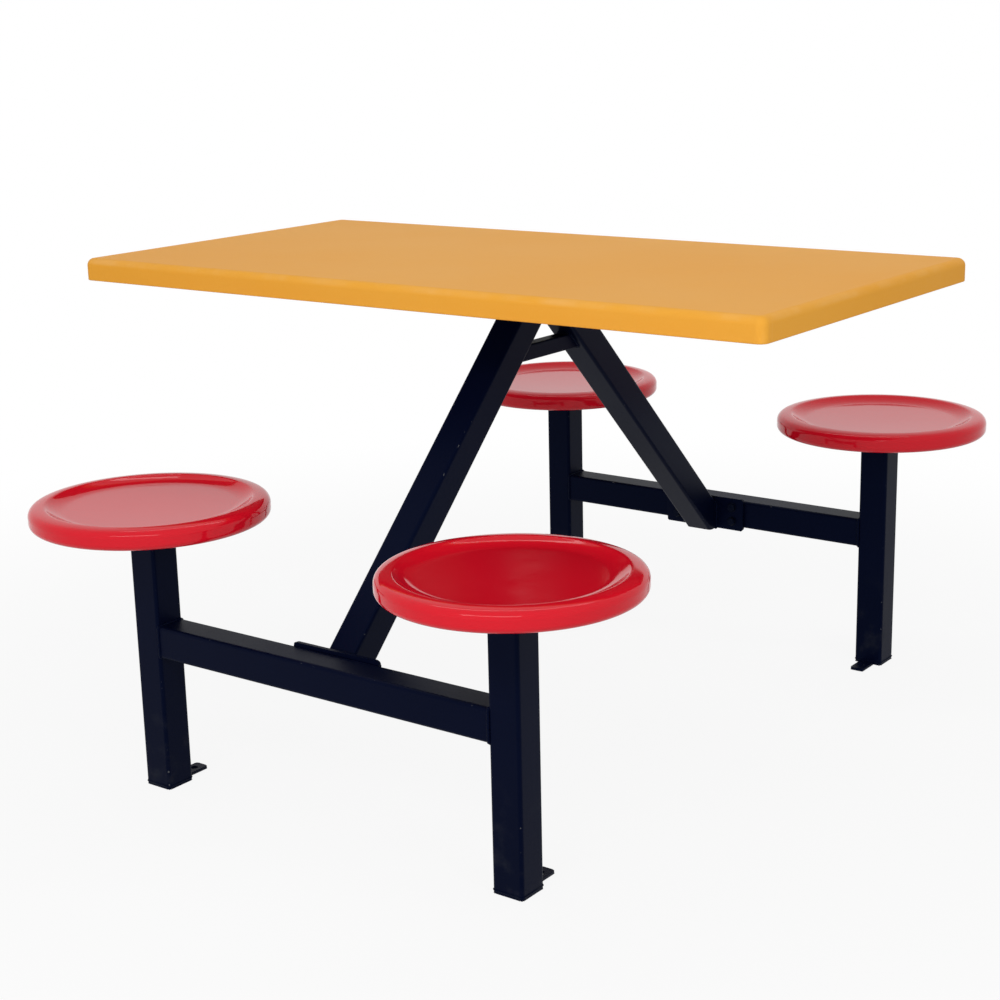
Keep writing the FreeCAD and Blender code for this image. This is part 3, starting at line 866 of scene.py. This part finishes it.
tube_beads = welded("tube_weld_beads", frame_welds, radius=0.0024, pitch=0.0034)
plate_beads = welded("plate_weld_beads", plate_welds, radius=0.0011, pitch=0.0024)
print("weld faces", len(tube_beads.data.polygons), len(plate_beads.data.polygons))

# %% [markdown]
# ## Bolts and screws
# All the fasteners have the same make: a hexagon head with a drawn-in top on a round washer, and a shank.
# One tree makes such a head from its sizes and sets it on points. Each point keeps the direction of its
# head, and a fixed seed turns every head by a chance amount, as a spanner leaves it.

# %% A tree for hexagon heads
head_sizes = ["Head Across", "Head Height", "Washer Radius", "Washer Height", "Shank Radius", "Shank Length"]
hexed, given, head_inputs = start_tree("hexagon_heads", [*head_sizes, "Seed", "Finish"])


def drawn_in_drum(sides_round, radius, height, bottom, top_share):
    """A drum whose upper rim is drawn in."""
    plain = hexed.node(
        "GeometryNodeMeshCylinder", {},
        {"Vertices": sides_round, "Side Segments": 4, "Radius": radius, "Depth": height})
    upper = Wire(hexed.tree, plain.socket.node.outputs["Top"])
    spot = hexed.node("GeometryNodeInputPosition", {}, {})
    drawn_in = hexed.node(
        "ShaderNodeVectorMath", {"operation": "MULTIPLY"}, {0: spot, 1: (top_share, top_share, 1)})
    shaped = hexed.node(
        "GeometryNodeSetPosition", {}, {"Geometry": plain, "Selection": upper, "Position": drawn_in})
    lift = hexed.node("ShaderNodeCombineXYZ", {}, {"Z": bottom + height / 2})
    return hexed.node("GeometryNodeTransform", {}, {"Geometry": shaped, "Translation": lift})


head = drawn_in_drum(
    6, given["Head Across"] / math.sqrt(3), given["Head Height"], given["Washer Height"], top_share=0.88)
washer = drawn_in_drum(32, given["Washer Radius"], given["Washer Height"], 0.0, top_share=0.96)
shank = drawn_in_drum(
    16, given["Shank Radius"], given["Shank Length"], 0.0 - given["Shank Length"], top_share=1.0)
whole = hexed.node("GeometryNodeJoinGeometry", {}, {"Geometry": [head, washer, shank]})
axis = hexed.node("GeometryNodeInputNamedAttribute", {"data_type": "FLOAT_VECTOR"}, {"Name": "axis"})
upright = hexed.node("FunctionNodeAlignRotationToVector", {"axis": "Z"}, {"Vector": axis})
chance = hexed.node(
    "FunctionNodeRandomValue", {"data_type": "FLOAT"}, {2: 0.0, 3: math.pi / 3, "Seed": given["Seed"]}, 1)
twist = hexed.node("FunctionNodeAxisAngleToRotation", {}, {"Axis": (0, 0, 1), "Angle": chance})
turned = hexed.node(
    "FunctionNodeRotateRotation", {"rotation_space": "LOCAL"}, {"Rotation": upright, "Rotate By": twist})
placed = hexed.node(
    "GeometryNodeInstanceOnPoints", {}, {"Points": given["Geometry"], "Instance": whole, "Rotation": turned})
end_tree(hexed, placed, given["Finish"])
print("fastener tree", len(hexed.tree.nodes), "nodes")

# %% Bolts of the flanges, screws of the board and of the seats
flange_bolt = (0.013, 0.0053, 0.0085, 0.0016, 0.004, 0.0175)
board_screw = (0.010, 0.004, 0.0065, 0.0012, 0.003, 0.039)
seat_screw = (0.010, 0.004, 0.0065, 0.0012, 0.003, 0.014)
screw_inset = 0.070


def fasteners(name, places, axis, sizes, finish, body, stands_for):
    """Hexagon heads at places under the head, all along one axis."""
    mesh = bpy.data.meshes.new(name)
    mesh.from_pydata(places, [], [])
    directions = mesh.attributes.new("axis", "FLOAT_VECTOR", "POINT")
    for direction in directions.data:
        direction.vector = axis
    values = dict(zip(head_sizes, sizes))
    values.update({"Seed": len(made_pieces), "Finish": finishes[finish]})
    heads = run_tree(name, hexed, head_inputs, mesh, values)
    return add_piece(name, heads, [], body, [stands_for])


for side, sign in sides.items():
    middle = node_middle(side + "_flange")
    places = [(middle.x + x, sign * flange_face, middle.z + z) for x, z in flange_bolts]
    fasteners(side + "_hexagon_bolts", places, (0, -sign, 0), flange_bolt,
              "bolt_black", "frame", side + "_flange_bolts")

screw_row = bearer_half - screw_inset
board_places = [
    (x, node_middle(side + "_bearer").y, bearer_low.z)
    for side in sides for x in (-screw_row, 0, screw_row)]
fasteners("board_screws", board_places, (0, 0, -1), board_screw,
          "zinc_plate", "frame", "tabletop_screws")
for corner in corners:
    middle = node_middle(corner + "_seat_plate")
    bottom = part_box(corner + "_seat_plate")[0].z
    places = [(middle.x + x, middle.y + y, bottom) for x, y in seat_bolts]
    fasteners(corner + "_hexagon_screws", places, (0, 0, -1), seat_screw,
              "zinc_plate", corner + "_seat", corner + "_seat_screws")
print("fasteners", [piece.name for piece in made_pieces if piece.name.endswith(("_bolts", "_screws"))])

# %% [markdown]
# ## The top
# The top is a moulded tray turned upside down over its board: a flat face, a generous round along the
# edge, upright sides and a thin hem. A cube with a Bevel modifier would come close, but the tray is
# hollow, so it is drawn as rings instead. Each ring is the same rounded rectangle, drawn in by an inset,
# and the rings follow the section of the edge from the inside of the tray, round the hem and up to the
# face. A point just beside each bend keeps the flats flat.

# %% Section of the tray's edge
tray_low, tray_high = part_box("tabletop_shell")
tray_skin, tray_corner, tray_round, tray_hem = 0.004, 0.014, 0.012, 0.0018
beside = 0.001


def arc(middle, height, radius, start, end, steps, outward=1):
    """Section points along an arc; angles in degrees from outwards (0) to up (90)."""
    angles = [math.radians(start + (end - start) * step / steps) for step in range(steps + 1)]
    return [
        (middle + outward * radius * math.cos(angle), height + radius * math.sin(angle))
        for angle in angles]


def tray_section():
    """The tray's inside, its hem and its outside, each as inset and height."""
    top, bottom = tray_high.z, tray_low.z
    side_top, side_bottom = top - tray_round, bottom + tray_hem
    inside = [(tray_round + 2 * beside, top - tray_skin)]
    inside += arc(tray_round, side_top, tray_round - tray_skin, 90, 0, 6, -1)
    inside += [(tray_skin, side_bottom + beside)]
    hem = arc(tray_skin - tray_hem, side_bottom, tray_hem, 180, 270, 4, -1)
    hem += arc(tray_hem, side_bottom, tray_hem, 270, 360, 4, -1)
    outside = [(0, side_bottom + beside), (0, side_top - beside)]
    outside += arc(tray_round, side_top, tray_round, 0, 90, 10, -1)
    outside += [(tray_round + 2 * beside, top)]
    return inside, hem, outside


inside, hem, outside = tray_section()
print("tray section", len(inside), "points inside,", len(hem), "on the hem,", len(outside), "outside")

# %% Tray
# The weight of the tray's corners in its edge share, which the gel coat paints paler: partly wear, partly a
# painted highlight.
corner_steps, corner_wear_and_highlight = 12, 0.6
size = tray_high - tray_low
tray = bmesh.new()
edge = tray.verts.layers.float.new("edge")
rings = []
for inset, height in inside + hem + outside:
    outline = tube_outline(size.x - 2 * inset, size.y - 2 * inset, tray_corner - inset, corner_steps)
    outward, upward = 1 - inset / tray_round, 1 - (tray_high.z - height) / tray_round
    ring = []
    for x, y, share_of_corner in outline:
        vert = tray.verts.new((x, y, height))
        # The edge share peaks on the round of the edge and at the corners, where the paler paint is partly
        # wear and partly a painted highlight.
        vert[edge] = max(2 * outward * upward, corner_wear_and_highlight * share_of_corner * outward, 0)
        ring.append(vert)
    rings.append(ring)
for level, (lower, upper) in enumerate(zip(rings, rings[1:])):
    for k in range(len(lower)):
        following = (k + 1) % len(lower)
        face = tray.faces.new((lower[k], lower[following], upper[following], upper[k]))
        face.material_index = 1 if level < len(inside) else 0
ceiling = tray.faces.new(rings[0])
ceiling.material_index = 1
tray.faces.new(rings[-1])
add_piece("tabletop_tray", tray, ["gel_coat_orange", "tray_back_orange"], "frame",
          ["tabletop_shell"])
print("tray", [round(value, 3) for value in size], "m,", len(rings), "rings")

# %% [markdown]
# ## The seats
# A seat is a shallow round dish with a broad rolled rim and a hem that turns in under it. Such a shape is
# turned on a lathe, and the same goes for a mesh: its half section is drawn once from arcs
# that meet without a kink, and is turned about the post. The face gets the red gel coat, and from the hem
# inwards the underside shows the back of the moulding.

# %% Half section of a seat
seat_low, seat_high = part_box("front_right_seat_shell")
seat_radius = (seat_high.x - seat_low.x) / 2
seat_skin, dish_depth, floor_slope, wall_slope = 0.005, 0.012, 1.5, 35
inner_rim_radius, crown_inset, rim_fall, rim_radius = 0.008, 0.022, 15, 0.012
rim_skirt, hem_radius, hem_turn = 0.0079, 0.010, 70
pad_radius, pad_flare, pad_ring = 0.075, 0.0072, 0.002
pad_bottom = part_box("front_right_seat_plate")[1].z


def seat_section():
    """The face from the middle of the dish to the end of the hem, and the back from there to the pad."""
    top = seat_high.z
    floor_lean, wall_lean, fall = (math.radians(degrees) for degrees in (floor_slope, wall_slope, rim_fall))
    crown_r = seat_radius - crown_inset
    outer_radius = (crown_inset - rim_radius * (1 - math.sin(fall))) / math.sin(fall)
    rim_r = seat_radius - rim_radius
    rim_z = top - outer_radius + (outer_radius - rim_radius) * math.cos(fall)
    hem_r, hem_z = seat_radius - hem_radius, rim_z - rim_skirt
    wall_r = crown_r - inner_rim_radius * math.sin(wall_lean)
    wall_z = top - inner_rim_radius * (1 - math.cos(wall_lean))
    run, rise = math.sin(wall_lean) - math.sin(floor_lean), math.cos(floor_lean) - math.cos(wall_lean)
    lift = math.tan(floor_lean / 2)
    bend_radius = (wall_z - top + dish_depth - wall_r * lift) / (rise - run * lift)
    bend_r, bend_z = wall_r - bend_radius * math.sin(wall_lean), wall_z + bend_radius * math.cos(wall_lean)
    floor_radius = (wall_r - bend_radius * run) / math.sin(floor_lean)
    floor_z = top - dish_depth + floor_radius
    pad_angle = math.degrees(math.asin((pad_radius + pad_flare) / (floor_radius + seat_skin)))
    face = arc(0, floor_z, floor_radius, -90, -90 + floor_slope, 12)
    face += arc(bend_r, bend_z, bend_radius, -90 + floor_slope, -90 + wall_slope, 12)[1:]
    face += arc(crown_r, top - inner_rim_radius, inner_rim_radius, 90 + wall_slope, 90, 10)[1:]
    face += arc(crown_r, top - outer_radius, outer_radius, 90, 90 - rim_fall, 10)[1:]
    face += arc(rim_r, rim_z, rim_radius, 90 - rim_fall, 0, 14)[1:]
    face += arc(hem_r, hem_z, hem_radius, 0, -hem_turn, 10)
    back = arc(hem_r, hem_z, hem_radius - seat_skin, -hem_turn, 0, 8)
    back += arc(rim_r, rim_z, rim_radius - seat_skin, 0, 90 - rim_fall, 10)
    back += arc(crown_r, top - outer_radius, outer_radius - seat_skin, 90 - rim_fall, 90, 6)[1:]
    inner_back = inner_rim_radius - seat_skin
    back += arc(crown_r, top - inner_rim_radius, inner_back, 90, 90 + wall_slope, 8)[1:]
    back += arc(bend_r, bend_z, bend_radius + seat_skin, -90 + wall_slope, -90 + floor_slope, 8)[1:]
    back += arc(0, floor_z, floor_radius + seat_skin, -90 + floor_slope, -90 + pad_angle, 6)[1:]
    back += [(pad_radius, pad_bottom), (pad_radius - pad_ring, pad_bottom), (0, pad_bottom)]
    face[0] = (0, face[0][1])
    return face, back


seat_face, seat_back = seat_section()
print("seat section", len(seat_face), "points on its face,", len(seat_back), "on its back")

# %% Seats
seat_segments = 160
rub_radius = 0.135


def add_lathe(shape, section, middle, segments):
    """Turns a half section about an upright axis; a point on the axis closes the shape."""
    rings = []
    for radius, height in section:
        count = segments if radius > hair else 1
        angles = [2 * math.pi * k / segments for k in range(count)]
        rings.append([
            shape.verts.new((middle.x + radius * math.cos(a), middle.y + radius * math.sin(a), height))
            for a in angles])
    bands = []
    for inner, outer in zip(rings, rings[1:]):
        band = []
        for k in range(segments):
            following = (k + 1) % segments
            quad = (inner[k % len(inner)], inner[following % len(inner)],
                    outer[following % len(outer)], outer[k % len(outer)])
            band.append(shape.faces.new(list(dict.fromkeys(quad))))
        bands.append(band)
    return rings, bands


for corner in corners:
    middle = node_middle(corner + "_seat_shell")
    seat = bmesh.new()
    rub = seat.verts.layers.float.new("rub")
    rings, bands = add_lathe(seat, seat_face + seat_back, middle, seat_segments)
    for ring, (radius, height) in zip(rings, seat_face):
        for vert in ring:
            vert[rub] = max(0.0, 1 - radius / rub_radius)
    for band in bands[len(seat_face):]:
        for face in band:
            face.material_index = 1
    add_piece(corner + "_dish", seat, ["gel_coat_red", "seat_back_red"], corner + "_seat",
              [corner + "_seat_shell"])
print("seat faces", len(made_pieces[-1].data.polygons))

# %% [markdown]
# ## The swivels
# Under each seat a turned spindle stands in two nylon bushes inside the post, and a lock nut holds it from
# below. Only the collar and the flange of the upper bush can be seen, between the post and the seat. They
# are turned parts, so the lathe from the seats serves again, with small chamfers on their rims. A film of
# grease keeps the collar off the bush, so the two faces never share one plane.

# %% Spindles
turned_segments = 64
thread_radius, shaft_radius, collar_radius = 0.010, 0.0125, 0.022
thread_start, grease_film = 0.0033, 0.0001


def drum(radius, bottom, top):
    """The side of a drum with chamfered rims, from below."""
    return [
        (radius - chamfer, bottom), (radius, bottom + chamfer),
        (radius, top - chamfer), (radius - chamfer, top)]


for corner in corners:
    spindle_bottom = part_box(corner + "_spindle")[0].z
    plate_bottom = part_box(corner + "_seat_plate")[0].z
    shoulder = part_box(corner + "_bearing_housing")[0].z - thread_start
    collar_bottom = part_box(corner + "_swivel_bushes")[1].z + grease_film
    section = [(0, spindle_bottom)] + drum(thread_radius, spindle_bottom, shoulder)[:3]
    section += [(thread_radius, shoulder), (shaft_radius, shoulder), (shaft_radius, collar_bottom)]
    section += drum(collar_radius, collar_bottom, plate_bottom) + [(0, plate_bottom)]
    spindle = bmesh.new()
    add_lathe(spindle, section, node_middle(corner + "_post"), turned_segments)
    add_piece(corner + "_turned_spindle", spindle, ["turned_steel"], corner + "_seat",
              [corner + "_spindle"])
print("spindles", round(plate_bottom - spindle_bottom, 3), "m long")

# %% Bushes
bush_bore, bush_radius, bush_length = 0.01258, 0.01495, 0.024
upper_flange_radius, lower_flange_radius, lower_flange = 0.023, 0.019, 0.003
same_point = 1e-7
for corner in corners:
    head_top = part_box(corner + "_head_plate")[1].z
    flange_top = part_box(corner + "_swivel_bushes")[1].z
    upper_end = head_top - bush_length
    upper = [(bush_bore, upper_end), (bush_radius, upper_end), (bush_radius, head_top)]
    upper += drum(upper_flange_radius, head_top, flange_top)
    upper += [(bush_bore, flange_top), (bush_bore, upper_end)]

    housing_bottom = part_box(corner + "_bearing_housing")[0].z
    lower_end, lower_top = housing_bottom - lower_flange, housing_bottom + bush_length
    lower = [(bush_bore, lower_end)] + drum(lower_flange_radius, lower_end, housing_bottom)
    lower += [(bush_radius, housing_bottom), (bush_radius, lower_top)]
    lower += [(bush_bore, lower_top), (bush_bore, lower_end)]

    bushes = bmesh.new()
    for section in (upper, lower):
        add_lathe(bushes, section, node_middle(corner + "_post"), turned_segments)
    bmesh.ops.remove_doubles(bushes, verts=bushes.verts[:], dist=same_point)
    add_piece(corner + "_nylon_bushes", bushes, ["natural_nylon"], "frame",
              [corner + "_swivel_bushes"])
print("bushes", 2 * len(corners))

# %% [markdown]
# ## Solids that keep their shape
# The board, the plugs and the parts hidden in the tubes are right as the CAD model has them. They only
# get a better finish, in the material slots of their own objects.

# %% Finishes on the remaining solids
slot_finish = {
    "frame_black": "powder_coat_black", "top_orange": "gel_coat_orange", "seat_red": "gel_coat_red",
    "plywood": "plywood_stained", "zinc": "zinc_plate", "turned_steel": "turned_steel",
    "bolt_black": "bolt_black", "bush_nylon": "natural_nylon", "cap_black": "plug_black"}
node_slots = {part["node"]: part["material_slot"] for part in frame["record"]["subparts"]}
for name, solid in frame["nodes"].items():
    for holder in solid.material_slots:
        holder.material = finishes[slot_finish[node_slots[name]]]
print("solids shown", [name for name, solid in frame["nodes"].items() if not solid.hide_render])

# %% [markdown]
# ## Counts
# The pieces that were made are counted, with their triangles.

# %% Pieces and triangles
print("pieces", len(made_pieces), "triangles",
      sum(len(face.vertices) - 2 for piece in made_pieces for face in piece.data.polygons))
